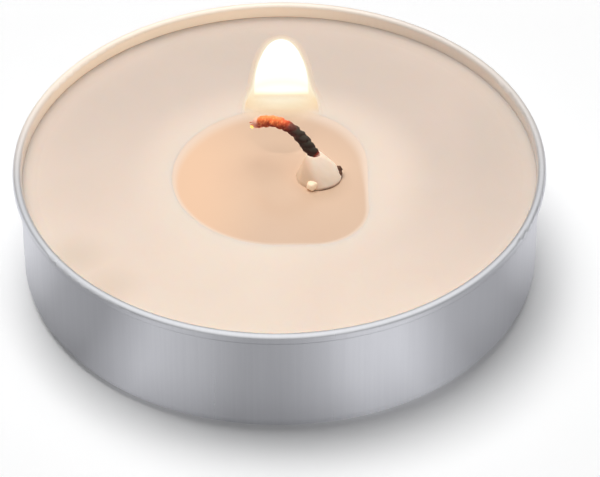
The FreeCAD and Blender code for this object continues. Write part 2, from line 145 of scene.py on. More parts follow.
# The flame's outline, as heights and half widths: its white core, and the cream skirt round it.
CORE_PROFILE = [(level * MM, width * MM) for level, width in (
    (13.4, 0.0), (13.5, 1.4), (13.9, 1.9), (14.6, 1.96), (15.3, 1.95), (16.0, 1.92), (16.7, 1.83),
    (17.5, 1.63), (18.36, 1.31), (18.85, 1.04), (19.12, 0.82), (19.34, 0.56), (19.43, 0.38), (19.48, 0.22),
    (19.5, 0.0))]
SKIRT_PROFILE = [(level * MM, width * MM) for level, width in (
    (10.6, 0.0), (10.65, 1.7), (11.2, 2.3), (12.2, 2.66), (12.9, 2.74), (13.6, 2.66), (14.1, 2.52),
    (14.6, 2.34), (15.3, 2.12), (16.0, 2.03), (16.7, 1.93), (17.5, 1.74), (18.36, 1.43), (18.9, 1.16),
    (19.2, 0.92), (19.45, 0.62), (19.56, 0.4), (19.63, 0.2), (19.66, 0.0))]

# Small lumps: middle and radii in millimetres, turn in radians, and the seed of their unevenness.
SOOT_LUMPS = (((4.33, -0.06, 8.45), (0.27, 0.27, 0.24), 0.4, 1.0),
              ((4.4, -0.3, 8.23), (0.2, 0.26, 0.26), 0.2, 2.0))
# A pale lump at the foot's front that glows: a painted highlight.
GLINT_BEAD_LUMP = ((2.4, -1.66, 8.22), (0.42, 0.36, 0.39), 0.2, 3.0)


def colour(red, green, blue):
    """Give a linear colour from the 0 to 255 values of a screen colour."""
    def linear(value):
        value /= 255
        return value / 12.92 if value <= 0.04045 else ((value + 0.055) / 1.055) ** 2.4
    return (linear(red), linear(green), linear(blue), 1.0)


BLACK = (0.0, 0.0, 0.0, 1.0)
WHITE = (1.0, 1.0, 1.0, 1.0)
WAX_CREAM = colour(252, 232, 215)
WAX_CREAM_CLOUD = colour(249, 226, 209)
# Painted shade: the wax's colour towards the back and the right.
WAX_SHADED_ROSE = colour(230, 210, 196)
WAX_SHADED_ROSE_CLOUD = colour(222, 205, 191)
# The brownish colour of the painted shadows on the wax by the rim.
WAX_RIM_SHADOW = colour(208, 191, 168)
POOL_AMBER = colour(251, 209, 173)
POOL_AMBER_CLOUD = colour(248, 206, 172)
POOL_TAN = colour(231, 198, 170)
POOL_TAN_CLOUD = colour(229, 194, 166)
# The colour of the painted shadow in the pool in front of the wick's foot.
POOL_PAINTED_SHADOW = colour(214, 182, 154)
FOOT_CREAM = colour(246, 224, 203)
FOOT_CREAM_CLOUD = colour(246, 226, 206)
FOOT_WET = colour(224, 194, 166)
# The pale colours of the glowing bead that is a painted highlight at the foot's front.
GLINT_CREAM = colour(255, 230, 200)
GLINT_AMBER = colour(253, 223, 190)
SOOT = colour(68, 62, 53)
# The ragged dark line at the wick's foot: soot, and painted shade where the foot meets the pool.
SOOT_AND_SHADE_BROWN = colour(120, 84, 62)
CRUMB_DARK = colour(78, 50, 38)
CRUMB_PALE = colour(140, 102, 80)
EMBER_ORANGE = colour(236, 116, 62)
EMBER_RED = colour(158, 52, 34)
EMBER_SPECKLE = colour(250, 170, 108)
ALUMINIUM = colour(234, 235, 238)
ALUMINIUM_CLOUD = colour(229, 230, 234)
ALUMINIUM_LINE = colour(222, 223, 227)
FILM_CREAM = colour(240, 222, 202)
# The warm glow painted on the film of wax inside the rim, standing for the flame's light.
FILM_PAINTED_FLAME_LIGHT = colour(255, 221, 178)
TINPLATE = colour(190, 190, 188)

# The film of wax inside the rim: how far out it reaches, as radii at two heights.
FILM_HEIGHTS = (8.85 * MM, 9.15 * MM)
FILM_RADII = (18.92 * MM, 19.44 * MM)

# Two brownish painted shadows on the wax by the rim at the front left, and how far they spread.
RIM_SHADOW_MIDDLES = ((-14.8 * MM, -9.3 * MM, WAX_FLAT), (-12.3 * MM, -12.5 * MM, WAX_FLAT))
RIM_SHADOW_REACH = 3.6 * MM

# The middles of the softened wax round the pool, and of the painted shadow in the pool in front of the wick's
# foot.
SOFTENED_MIDDLE = (0.0, -0.2 * MM, WAX_FLAT)
POOL_SHADOW_MIDDLE = (3.1 * MM, -1.1 * MM, POOL_LEVEL)

# How light the floor shows in the metal, at bearings in degrees from the front towards the right.
PANELS = ((-180, 0.75), (-110, 0.95), (-92, 0.85), (-71, 0.43), (-54, 0.36), (-37, 0.69), (-22, 0.55),
          (-11, 0.41), (0, 0.42), (11, 0.56), (20, 0.78), (34, 0.85), (51, 0.5), (72, 0.46), (92, 0.8),
          (110, 0.9), (180, 0.75))

# The floor's own light, as the metal mirrors it and as the camera sees it, how its colour is dimmed in the
# metal, and half its width in metres.
FLOOR_MIRRORED = 0.5
FLOOR_SEEN = 0.07
FLOOR_DIMMED = (0.5, 0.5, 0.5, 1.0)
FLOOR_HALF = 3.0

# The soft light from all round, and the soft lamps: how far off and how wide in metres, then for each its
# bearing and height in degrees, and the level that it lights the candle to.
AMBIENT = 0.08
LAMP_DISTANCE = 1.2
LAMP_SIZE = 0.77
LAMPS = (("key", -145, 74, 0.64), ("second", 170, 76, 0.32))

# The flame's colours and opacities at heights in millimetres.
CORE_TINT = ((14.7, colour(255, 246, 214)), (15.2, WHITE), (19.0, WHITE))
CORE_OPACITY = ((14.7, 0.0), (15.35, 1.0), (19.0, 1.0))
SKIRT_TINT = ((13.4, colour(255, 212, 160)), (14.2, colour(255, 221, 174)), (14.8, colour(255, 236, 200)),
              (15.3, colour(255, 250, 226)), (16.0, colour(255, 250, 228)), (19.0, colour(255, 246, 218)))
SKIRT_OPACITY = ((12.9, 0.0), (13.6, 0.2), (14.2, 0.52), (15.2, 0.8), (16.0, 0.65), (17.5, 0.5), (19.6, 0.35))
VEIL_TINT = ((13.0, colour(255, 224, 180)), (15.0, colour(255, 240, 206)), (19.0, colour(255, 238, 208)))
VEIL_OPACITY = ((12.6, 0.0), (14.0, 0.12), (15.2, 0.26), (19.6, 0.22))
HALO_TINT = ((13.0, colour(255, 222, 180)), (19.0, colour(255, 226, 196)))
HALO_OPACITY = ((12.8, 0.0), (14.6, 0.05), (15.8, 0.12), (19.6, 0.16))


# Node trees


def feed(tree, socket, value):
    """Link a node's output to a socket, or set the socket to a plain value."""
    if isinstance(value, bpy.types.NodeSocket):
        tree.links.new(value, socket)
    else:
        socket.default_value = value


def add(tree, kind, inputs=None, **settings):
    """Add a node, set it up, and feed its inputs by name or number."""
    node = tree.nodes.new(kind)
    for name, value in settings.items():
        setattr(node, name, value)
    for name, value in (inputs or {}).items():
        feed(tree, node.inputs[name], value)
    return node


def maths(tree, operation, *values):
    """Add a Math node and give its output."""
    return add(tree, "ShaderNodeMath", dict(enumerate(values)), operation=operation).outputs[0]


def blend(tree, amount, first, second, mode="MIX"):
    """Mix two colours by an amount and give the result."""
    inputs = {"Factor": amount, 6: first, 7: second}
    return add(tree, "ShaderNodeMix", inputs, data_type="RGBA", blend_type=mode).outputs[2]


def ease(tree, value, low, high, start=0.0, end=1.0):
    """Turn a value into a smooth step from start at low to end at high."""
    inputs = {"Value": value, "From Min": low, "From Max": high, "To Min": start, "To Max": end}
    return add(tree, "ShaderNodeMapRange", inputs, interpolation_type="SMOOTHSTEP").outputs["Result"]


def ramp(tree, value, stops):
    """Give a colour ramp's output for a value, with its stops as places and colours."""
    node = add(tree, "ShaderNodeValToRGB", {"Fac": value})
    elements = node.color_ramp.elements
    while len(elements) < len(stops):
        elements.new(0.5)
    for element, (place, shade) in zip(elements, stops):
        element.position = place
        element.color = shade
    return node.outputs["Color"]


def new_group(name, kind, inputs, outputs):
    """Start a node group with named sockets, and give it with its two ends."""
    tree = bpy.data.node_groups.new(name, kind)
    for label, socket_type, value in inputs:
        socket = tree.interface.new_socket(label, in_out="INPUT", socket_type=socket_type)
        if value is not None:
            socket.default_value = value
    for label, socket_type in outputs:
        tree.interface.new_socket(label, in_out="OUTPUT", socket_type=socket_type)
    return tree, tree.nodes.new("NodeGroupInput"), tree.nodes.new("NodeGroupOutput")


def cloud_group():
    """Soft clouds in cast or melted wax: a mask for the colour and a height for the bump."""
    tree, start, end = new_group("wax_clouds", "ShaderNodeTree", (
        ("Vector", "NodeSocketVector", None),
        ("Cloud Scale", "NodeSocketFloat", 120.0),
        ("Grain Scale", "NodeSocketFloat", 900.0),
        ("Contrast", "NodeSocketFloat", 1.0),
    ), (("Mask", "NodeSocketFloat"), ("Height", "NodeSocketFloat")))
    clouds = add(tree, "ShaderNodeTexNoise", {
        "Vector": start.outputs["Vector"], "Scale": start.outputs["Cloud Scale"],
        "Detail": 3.0, "Roughness": 0.45, "Distortion": 0.6})
    grain = add(tree, "ShaderNodeTexNoise", {
        "Vector": start.outputs["Vector"], "Scale": start.outputs["Grain Scale"],
        "Detail": 4.0, "Roughness": 0.6})
    centred = maths(tree, "SUBTRACT", clouds.outputs["Fac"], 0.5)
    stretched = maths(tree, "MULTIPLY_ADD", centred, start.outputs["Contrast"], 0.5)
    mask = add(tree, "ShaderNodeClamp", {"Value": stretched})
    height = maths(tree, "MULTIPLY_ADD", grain.outputs["Fac"], 0.25, clouds.outputs["Fac"])
    tree.links.new(mask.outputs[0], end.inputs["Mask"])
    tree.links.new(height, end.inputs["Height"])
    return tree


def drawn_metal_group():
    """Marks of the press on drawn sheet: fine lines up the wall, and a rolled grain over them."""
    tree, start, end = new_group("drawn_metal", "ShaderNodeTree", (
        ("Vector", "NodeSocketVector", None),
        ("Lines", "NodeSocketFloat", 60.0),
        ("Grain Scale", "NodeSocketFloat", 3500.0),
    ), (("Lines", "NodeSocketFloat"), ("Height", "NodeSocketFloat")))
    place = add(tree, "ShaderNodeSeparateXYZ", {"Vector": start.outputs["Vector"]})
    angle = maths(tree, "ARCTAN2", place.outputs["Y"], place.outputs["X"])
    around = add(tree, "ShaderNodeCombineXYZ", {
        "X": maths(tree, "MULTIPLY", maths(tree, "COSINE", angle), start.outputs["Lines"]),
        "Y": maths(tree, "MULTIPLY", maths(tree, "SINE", angle), start.outputs["Lines"]),
        "Z": maths(tree, "MULTIPLY", place.outputs["Z"], 60.0)})
    lines = add(tree, "ShaderNodeTexNoise", {
        "Vector": around.outputs[0], "Scale": 1.0, "Detail": 5.0, "Roughness": 0.65})
    grain = add(tree, "ShaderNodeTexNoise", {
        "Vector": start.outputs["Vector"], "Scale": start.outputs["Grain Scale"], "Detail": 2.0})
    height = maths(tree, "MULTIPLY_ADD", grain.outputs["Fac"], 0.4, lines.outputs["Fac"])
    tree.links.new(lines.outputs["Fac"], end.inputs["Lines"])
    tree.links.new(height, end.inputs["Height"])
    return tree


CLOUDS = cloud_group()
DRAWN = drawn_metal_group()


# Materials


def new_material(name):
    """Start a material and give it with its tree, its shader and its object coordinates."""
    material = bpy.data.materials.new(name)
    material.use_nodes = True
    tree = material.node_tree
    shader = tree.nodes["Principled BSDF"]
    place = tree.nodes.new("ShaderNodeTexCoord").outputs["Object"]
    return material, tree, shader, place


def use_group(tree, group, inputs):
    """Place a node group in a material."""
    return add(tree, "ShaderNodeGroup", inputs, node_tree=group)


def distance(tree, place, point):
    """Give how far a place is from a point."""
    return add(tree, "ShaderNodeVectorMath", {0: place, 1: point}, operation="DISTANCE").outputs["Value"]


def wire(tree, shader, **sockets):
    """Link outputs to the shader's inputs, whose names are given with underscores."""
    for name, output in sockets.items():
        tree.links.new(output, shader.inputs[name.replace("_", " ")])


def bump(tree, height, depth):
    """Give the normal of a bump of that depth in metres."""
    inputs = {"Height": height, "Distance": depth, "Strength": 1.0}
    return add(tree, "ShaderNodeBump", inputs).outputs["Normal"]


def aluminium_material():
    """Satin drawn aluminium with faint marks of the press, and a film of wax inside its rim at the back that
    glows with painted flame light.
    """
    material, tree, shader, place = new_material("drawn_aluminium")
    marks = use_group(tree, DRAWN, {"Vector": place, "Lines": 70.0, "Grain Scale": 2600.0})
    cloud = use_group(tree, CLOUDS, {"Vector": place, "Cloud Scale": 90.0, "Contrast": 1.6})
    tone = blend(tree, cloud.outputs["Mask"], ALUMINIUM, ALUMINIUM_CLOUD)
    lines = maths(tree, "MULTIPLY", ease(tree, marks.outputs["Lines"], 0.3, 0.7), 0.3)
    bare = blend(tree, lines, tone, ALUMINIUM_LINE)
    axes = add(tree, "ShaderNodeSeparateXYZ", {"Vector": place})
    flat = add(tree, "ShaderNodeCombineXYZ", {"X": axes.outputs["X"], "Y": axes.outputs["Y"]}).outputs[0]
    reach = add(tree, "ShaderNodeVectorMath", {0: flat}, operation="LENGTH").outputs["Value"]
    edge = ease(tree, axes.outputs["Z"], *FILM_HEIGHTS, *FILM_RADII)
    within = ease(tree, maths(tree, "SUBTRACT", reach, edge), -0.03 * MM, 0.03 * MM, 0.5, 0.0)
    inside = maths(tree, "MULTIPLY", within, ease(tree, axes.outputs["Z"], 6 * MM, 7 * MM))
    film = maths(tree, "MULTIPLY", inside, ease(tree, axes.outputs["Y"], -6 * MM, 12 * MM))
    # Painted light: the film glows warm as if the flame lit it, less towards the right.
    painted_flame_light = maths(tree, "MULTIPLY", film, ease(tree, axes.outputs["X"], -4 * MM, 14 * MM, 0.62, 0.08))
    dull = ease(tree, marks.outputs["Lines"], 0.2, 0.8, 0.27, 0.33)
    wire(tree, shader,
         Base_Color=blend(tree, film, bare, FILM_CREAM),
         Metallic=maths(tree, "SUBTRACT", 1.0, film),
         Emission_Color=blend(tree, painted_flame_light, BLACK, FILM_PAINTED_FLAME_LIGHT),
         Roughness=maths(tree, "MULTIPLY_ADD", film, 0.2, dull),
         Normal=bump(tree, marks.outputs["Height"], 0.0012 * MM))
    shader.inputs["Emission Strength"].default_value = 1.0
    return material


def tinplate_material():
    """Tinned steel of the wick's holder."""
    material, tree, shader, place = new_material("tinplate")
    marks = use_group(tree, DRAWN, {"Vector": place, "Lines": 25.0, "Grain Scale": 5200.0})
    wire(tree, shader,
         Roughness=ease(tree, marks.outputs["Lines"], 0.2, 0.8, 0.25, 0.4),
         Normal=bump(tree, marks.outputs["Height"], 0.003 * MM))
    shader.inputs["Base Color"].default_value = TINPLATE
    shader.inputs["Metallic"].default_value = 1.0
    return material


def wax_material():
    """Cast paraffin: cream, with painted shade towards the back and right, lighter round the pool, and two
    brownish painted shadows by the rim.
    """
    material, tree, shader, place = new_material("cast_wax")
    cloud = use_group(tree, CLOUDS, {"Vector": place, "Cloud Scale": 110.0, "Contrast": 1.7})
    axes = add(tree, "ShaderNodeSeparateXYZ", {"Vector": place})
    # Painted shade: the wax is painted darker and rosier towards the back and the right.
    aside = maths(tree, "MAXIMUM", maths(tree, "MULTIPLY", axes.outputs["X"], 0.7),
                  maths(tree, "MULTIPLY", axes.outputs["X"], -0.15))
    painted_shade_back_right = ease(tree, maths(tree, "ADD", aside, axes.outputs["Y"]), -13 * MM, 14 * MM)
    softened = ease(tree, distance(tree, place, SOFTENED_MIDDLE), 8 * MM, 12 * MM, 0.6, 0.0)
    cream = blend(tree, cloud.outputs["Mask"], WAX_CREAM, WAX_CREAM_CLOUD)
    rose_in_shade = blend(tree, cloud.outputs["Mask"], WAX_SHADED_ROSE, WAX_SHADED_ROSE_CLOUD)
    tone = blend(tree, painted_shade_back_right, cream, rose_in_shade)
    lighter = blend(tree, softened, tone, WAX_CREAM)
    # Painted shadow: the wax turns brownish near two places by the rim at the front left.
    apart = maths(tree, "MINIMUM", *[distance(tree, place, stain) for stain in RIM_SHADOW_MIDDLES])
    rim_shadowed = ease(tree, apart, 0.0, RIM_SHADOW_REACH, 0.32, 0.0)
    wire(tree, shader,
         Base_Color=blend(tree, rim_shadowed, lighter, WAX_RIM_SHADOW),
         Roughness=ease(tree, cloud.outputs["Mask"], 0.0, 1.0, 0.36, 0.5),
         Normal=bump(tree, cloud.outputs["Height"], 0.06 * MM))
    shader.inputs["Subsurface Weight"].default_value = 0.35
    shader.inputs["Subsurface Radius"].default_value = (1.0, 0.6, 0.4)
    shader.inputs["Subsurface Scale"].default_value = 1.5 * MM
    shader.inputs["IOR"].default_value = 1.43
    return material


def pool_material():
    """Melted paraffin: amber at its left, tan beyond, with a painted shadow by the wick, thin over the wax at
    its edge.
    """
    material, tree, shader, place = new_material("melted_wax")
    cloud = use_group(tree, CLOUDS, {"Vector": place, "Cloud Scale": 170.0, "Contrast": 1.8})
    axes = add(tree, "ShaderNodeSeparateXYZ", {"Vector": place})
    rightward = ease(tree, axes.outputs["X"], -7 * MM, -0.5 * MM)
    amber = blend(tree, cloud.outputs["Mask"], POOL_AMBER, POOL_AMBER_CLOUD)
    tan = blend(tree, cloud.outputs["Mask"], POOL_TAN, POOL_TAN_CLOUD)
    tone = blend(tree, rightward, amber, tan)
    # Painted shadow: the pool is darker in front of the wick's foot.
    shade = ease(tree, distance(tree, place, POOL_SHADOW_MIDDLE), 0.9 * MM, 2.6 * MM, 0.75, 0.0)
    foot_shadowed = blend(tree, shade, tone, POOL_PAINTED_SHADOW)
    inward = add(tree, "ShaderNodeAttribute", attribute_name="inward").outputs["Fac"]
    softness = ease(tree, axes.outputs["Y"], -3 * MM, 6 * MM, 0.35, 1.3)
    thin = ease(tree, maths(tree, "DIVIDE", inward, softness), 0.0, 1.0, 0.65, 0.0)
    wire(tree, shader,
         Base_Color=blend(tree, thin, foot_shadowed, WAX_CREAM),
         Normal=bump(tree, cloud.outputs["Height"], 0.02 * MM))
    shader.inputs["Roughness"].default_value = 0.2
    shader.inputs["IOR"].default_value = 1.43
    return material


def foot_material():
    """Wax-soaked cotton at the foot of the wick, with a ragged line of soot and painted shade at its front
    and right, and a painted glow.
    """
    material, tree, shader, place = new_material("primed_foot")
    cloud = use_group(tree, CLOUDS, {"Vector": place, "Cloud Scale": 420.0, "Grain Scale": 2600.0,
                                     "Contrast": 1.6})
    from_foot = add(tree, "ShaderNodeVectorMath", {0: place, 1: WICK_FOOT}, operation="SUBTRACT").outputs[0]
    axes = add(tree, "ShaderNodeSeparateXYZ", {"Vector": from_foot})
    ragged = maths(tree, "MULTIPLY_ADD", cloud.outputs["Mask"], 0.3 * MM, axes.outputs["Z"])
    # A ragged dark line low on the front and right: partly soot, partly painted shade at the pool's edge.
    low = ease(tree, ragged, POOL_LEVEL + 0.12 * MM, POOL_LEVEL + 0.4 * MM, 1.0, 0.0)
    toward_right = maths(tree, "MULTIPLY_ADD", axes.outputs["Y"], -0.55, axes.outputs["X"])
    soot_and_shade_side = ease(tree, toward_right, -0.9 * MM, 0.9 * MM)
    leftward = maths(tree, "MULTIPLY_ADD", axes.outputs["X"], 1.6, axes.outputs["Z"])
    wet = ease(tree, leftward, POOL_LEVEL - 0.5 * MM, POOL_LEVEL + 1.2 * MM, 1.0, 0.0)
    cream = blend(tree, cloud.outputs["Mask"], FOOT_CREAM, FOOT_CREAM_CLOUD)
    wetted = blend(tree, wet, cream, FOOT_WET)
    finish = blend(tree, maths(tree, "MULTIPLY", low, soot_and_shade_side), wetted, SOOT_AND_SHADE_BROWN)
    # Painted light: the foot glows in its own colours, as if lit through by the flame.
    wire(tree, shader, Base_Color=finish, Emission_Color=finish,
         Normal=bump(tree, cloud.outputs["Height"], 0.05 * MM))
    shader.inputs["Emission Strength"].default_value = 0.25
    shader.inputs["Roughness"].default_value = 0.6
    shader.inputs["Specular IOR Level"].default_value = 0.3
    shader.inputs["Subsurface Weight"].default_value = 0.35
    shader.inputs["Subsurface Radius"].default_value = (1.0, 0.6, 0.4)
    shader.inputs["Subsurface Scale"].default_value = 0.7 * MM
    return material


def cotton_material():
    """Braided cotton, coloured by the way along it: waxed, charred black, then glowing to its tip; painted
    lighter on top and darker underneath.
    """
    material, tree, shader, place = new_material("burnt_cotton")
    along = add(tree, "ShaderNodeAttribute", attribute_name="along").outputs["Fac"]
    fleck = add(tree, "ShaderNodeTexNoise", {"Vector": place, "Scale": 2600.0, "Detail": 4.0,
                                             "Roughness": 0.7}).outputs["Fac"]
    shifted = maths(tree, "MULTIPLY_ADD", maths(tree, "SUBTRACT", fleck, 0.5), 0.06, along)
    # Painted light and shade: lit and shaded colourings by which way the surface faces, lighter on top,
    # darker and redder underneath.
    facing = add(tree, "ShaderNodeSeparateXYZ", {
        "Vector": tree.nodes.new("ShaderNodeNewGeometry").outputs["Normal"]}).outputs["Z"]
    lit_side_with_flecks = maths(tree, "MULTIPLY_ADD", maths(tree, "SUBTRACT", fleck, 0.5), 0.9, facing)
    above = ease(tree, lit_side_with_flecks, -0.1, 0.9)
    top = ramp(tree, shifted, (
        (0.0, FOOT_CREAM), (0.345, FOOT_CREAM), (0.365, EMBER_RED), (0.385, SOOT), (0.62, SOOT),
        (0.68, colour(110, 58, 50)), (0.72, colour(190, 72, 44)), (0.8, EMBER_ORANGE),
        (0.94, colour(232, 120, 66)), (0.975, colour(240, 190, 172))))
    under = ramp(tree, shifted, (
        (0.0, FOOT_CREAM), (0.345, FOOT_CREAM), (0.365, EMBER_RED), (0.385, colour(74, 34, 30)),
        (0.5, colour(60, 44, 40)), (0.66, colour(84, 34, 30)), (0.8, EMBER_RED), (0.95, colour(170, 66, 48)),
        (0.98, colour(226, 150, 140))))
    glowing = ease(tree, shifted, 0.66, 0.8)
    spots = add(tree, "ShaderNodeTexNoise", {"Vector": place, "Scale": 7000.0, "Detail": 1.0}).outputs["Fac"]
    speckle = maths(tree, "MULTIPLY", ease(tree, spots, 0.54, 0.66, 0.0, 0.6), glowing)
    shade = blend(tree, speckle, blend(tree, above, under, top), EMBER_SPECKLE)
    wire(tree, shader,
         Base_Color=shade,
         Emission_Color=blend(tree, glowing, BLACK, shade),
         Normal=bump(tree, fleck, 0.06 * MM))
    shader.inputs["Emission Strength"].default_value = 0.14
    shader.inputs["Roughness"].default_value = 0.85
    return material


def glow_material(name, strength, slant, tint, opacity):
    """Glowing gas: light of its own, with a colour and an opacity that change up the flame.

    The flame's zones lie aslant, lower at the back, as they do over a wick that leans back.
    """
    material, tree, shader, place = new_material(name)
    axes = add(tree, "ShaderNodeSeparateXYZ", {"Vector": place})
    behind = maths(tree, "SUBTRACT", axes.outputs["Y"], FLAME_AXIS.y)
    height = maths(tree, "MULTIPLY_ADD", behind, slant, axes.outputs["Z"])
    share = add(tree, "ShaderNodeMapRange", {
        "Value": height, "From Min": FLAME_ROOT, "From Max": FLAME_TIP}).outputs["Result"]

    def shares(stops):
        return [((level * MM - FLAME_ROOT) / (FLAME_TIP - FLAME_ROOT), value) for level, value in stops]

    grey = [(level, (value, value, value, 1.0)) for level, value in shares(opacity)]
    wire(tree, shader, Alpha=ramp(tree, share, grey), Emission_Color=ramp(tree, share, shares(tint)))
    shader.inputs["Base Color"].default_value = BLACK
    shader.inputs["Specular IOR Level"].default_value = 0.0
    shader.inputs["Roughness"].default_value = 1.0
    shader.inputs["Emission Strength"].default_value = strength
    return material


def soot_material():
    """Dull brown-black soot."""
    material, tree, shader, place = new_material("soot")
    cloud = use_group(tree, CLOUDS, {"Vector": place, "Cloud Scale": 2500.0, "Grain Scale": 9000.0,
                                     "Contrast": 2.0})
    wire(tree, shader,
         Base_Color=blend(tree, cloud.outputs["Mask"], CRUMB_DARK, CRUMB_PALE),
         Normal=bump(tree, cloud.outputs["Height"], 0.05 * MM))
    shader.inputs["Roughness"].default_value = 0.8
    return material


def glint_bead_material():
    """Pale glossy wax that glows: a painted highlight."""
    material, tree, shader, place = new_material("glint_bead")
    cloud = use_group(tree, CLOUDS, {"Vector": place, "Cloud Scale": 1500.0, "Contrast": 1.0})
    tone = blend(tree, cloud.outputs["Mask"], GLINT_CREAM, GLINT_AMBER)
    wire(tree, shader, Base_Color=tone, Emission_Color=tone,
         Normal=bump(tree, cloud.outputs["Height"], 0.02 * MM))
    shader.inputs["Emission Strength"].default_value = 0.3
    shader.inputs["Roughness"].default_value = 0.3
    return material


def fibre_material():
    """Ash-pale, glowing fibres."""
    material, tree, shader, place = new_material("burnt_fibres")
    fleck = add(tree, "ShaderNodeTexNoise", {"Vector": place, "Scale": 5000.0, "Detail": 2.0}).outputs["Fac"]
    mix = ease(tree, fleck, 0.4, 0.6)
    wire(tree, shader,
         Base_Color=blend(tree, mix, colour(236, 176, 160), colour(214, 120, 96)),
         Emission_Color=blend(tree, mix, colour(150, 96, 84), colour(120, 50, 36)))
    shader.inputs["Emission Strength"].default_value = 0.6
    shader.inputs["Roughness"].default_value = 0.8
    return material


def spark_material():
    """A yellow spark."""
    material, tree, shader, place = new_material("spark")
    fleck = add(tree, "ShaderNodeTexNoise", {"Vector": place, "Scale": 9000.0, "Detail": 2.0}).outputs["Fac"]
    wire(tree, shader, Emission_Color=blend(tree, fleck, colour(255, 240, 120), colour(250, 214, 110)))
    shader.inputs["Base Color"].default_value = colour(240, 208, 137)
    shader.inputs["Emission Strength"].default_value = 0.9
    return material


# Pieces


def finish_piece(piece, node):
    """Attach a finished piece to what it rides on, and hide the plain solid that it stands for."""
    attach(piece, "root")
    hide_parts(node)


def mesh_piece(name, bm, material):
    """Make an object at the origin from a bmesh, with smooth faces that point outwards."""
    bmesh.ops.recalc_face_normals(bm, faces=bm.faces)
    for face in bm.faces:
        face.smooth = True
    mesh = bpy.data.meshes.new(name)
    bm.to_mesh(mesh)
    bm.free()
    mesh.materials.append(material)
    piece = bpy.data.objects.new(name, mesh)
    bpy.context.collection.objects.link(piece)
    return piece


def bridge_rings(bm, rings):
    """Join rings of points, lowest first, into one skin; a ring of one point closes its end."""
    for low, high in zip(rings, rings[1:]):
        count = max(len(low), len(high))
        for index in range(count):
            corners = []
            for ring, step in ((low, index), (low, index + 1), (high, index + 1), (high, index)):
                corner = ring[step % len(ring)]
                if corner not in corners:
                    corners.append(corner)
            bm.faces.new(corners)


def round_ring(bm, centre, radius, count):
    """Add a level ring of points, or one point where the radius is nothing."""
    if radius <= 0:
        return [bm.verts.new(centre)]
    angles = [2 * math.pi * step / count for step in range(count)]
    return [bm.verts.new(centre + Vector((radius * math.cos(a), radius * math.sin(a), 0.0))) for a in angles]


def pool_edge(steps):
    """Give the pool's edge as points and the ways out of them, flatter to the front and the right."""
    reach, corner, radius = POOL_REACH, POOL_CORNER, POOL_RADIUS
    arcs = (((0.0, 0.0), radius, 90, 270), ((reach - corner, corner - radius), corner, 270, 360),
            ((0.0, radius - reach), reach, 0, 90))
    edge = []
    for (x, y), size, start, end in arcs:
        for step in range(steps):
            turn = math.radians(start + (end - start) * step / steps)
            out = Vector((math.cos(turn), math.sin(turn), 0.0))
            edge.append((Vector((x, y + POOL_OFFSET, 0.0)) + out * size, out))
    return edge


def make_pool():
    """The melted wax: level, climbing a little at its edge, and as deep as its dish."""
    bm = bmesh.new()
    inward = bm.verts.layers.float.new("inward")
    edge = pool_edge(POOL_ARC_STEPS)
    rings = []
    for inset, level in POOL_SECTION:
        ring = []
        for place, out in edge:
            corner = bm.verts.new(place - out * inset * MM + Vector((0.0, 0.0, level * MM)))
            corner[inward] = inset
            ring.append(corner)
        rings.append(ring)
    middle = bm.verts.new(Vector((*POOL_MIDDLE, POOL_LEVEL)))
    middle[inward] = POOL_MIDDLE_INSET
    under = bm.verts.new(Vector((*POOL_MIDDLE, POOL_FLOOR)))
    bridge_rings(bm, [[under]] + rings + [[middle]])
    finish_piece(mesh_piece("melted_pool", bm, pool_material()), "melted_wax")


def wick_point(along, up):
    """Give the place of a point that lies along the wick's lean and up from the wax."""
    return WICK_FOOT + Vector((along * math.cos(WICK_BEARING), along * math.sin(WICK_BEARING), WAX_FLAT + up))


def wick_course():
    """Give the wick's centre line from the floor of the pool, up, over its bend and round its curl."""
    bend_x = WICK_BEND_RADIUS * (1 - math.cos(WICK_LEAN))
    bend_z = WICK_UPRIGHT + WICK_BEND_RADIUS * math.sin(WICK_LEAN)
    curl_x = bend_x + WICK_STRAIGHT * math.sin(WICK_LEAN)
    curl_z = bend_z + WICK_STRAIGHT * math.cos(WICK_LEAN)
    middle_x = curl_x + WICK_CURL_RADIUS * math.cos(WICK_LEAN)
    middle_z = curl_z - WICK_CURL_RADIUS * math.sin(WICK_LEAN)
    course = [wick_point(0.0, POOL_FLOOR - WAX_FLAT)]
    for step in range(BEND_STEPS + 1):
        turn = WICK_LEAN * step / BEND_STEPS
        course.append(wick_point(WICK_BEND_RADIUS * (1 - math.cos(turn)),
                                 WICK_UPRIGHT + WICK_BEND_RADIUS * math.sin(turn)))
    for step in range(CURL_STEPS + 1):
        turn = math.pi - WICK_LEAN - WICK_CURL_ANGLE * step / CURL_STEPS
        course.append(wick_point(middle_x + WICK_CURL_RADIUS * math.cos(turn),
                                 middle_z + WICK_CURL_RADIUS * math.sin(turn)))
    return course


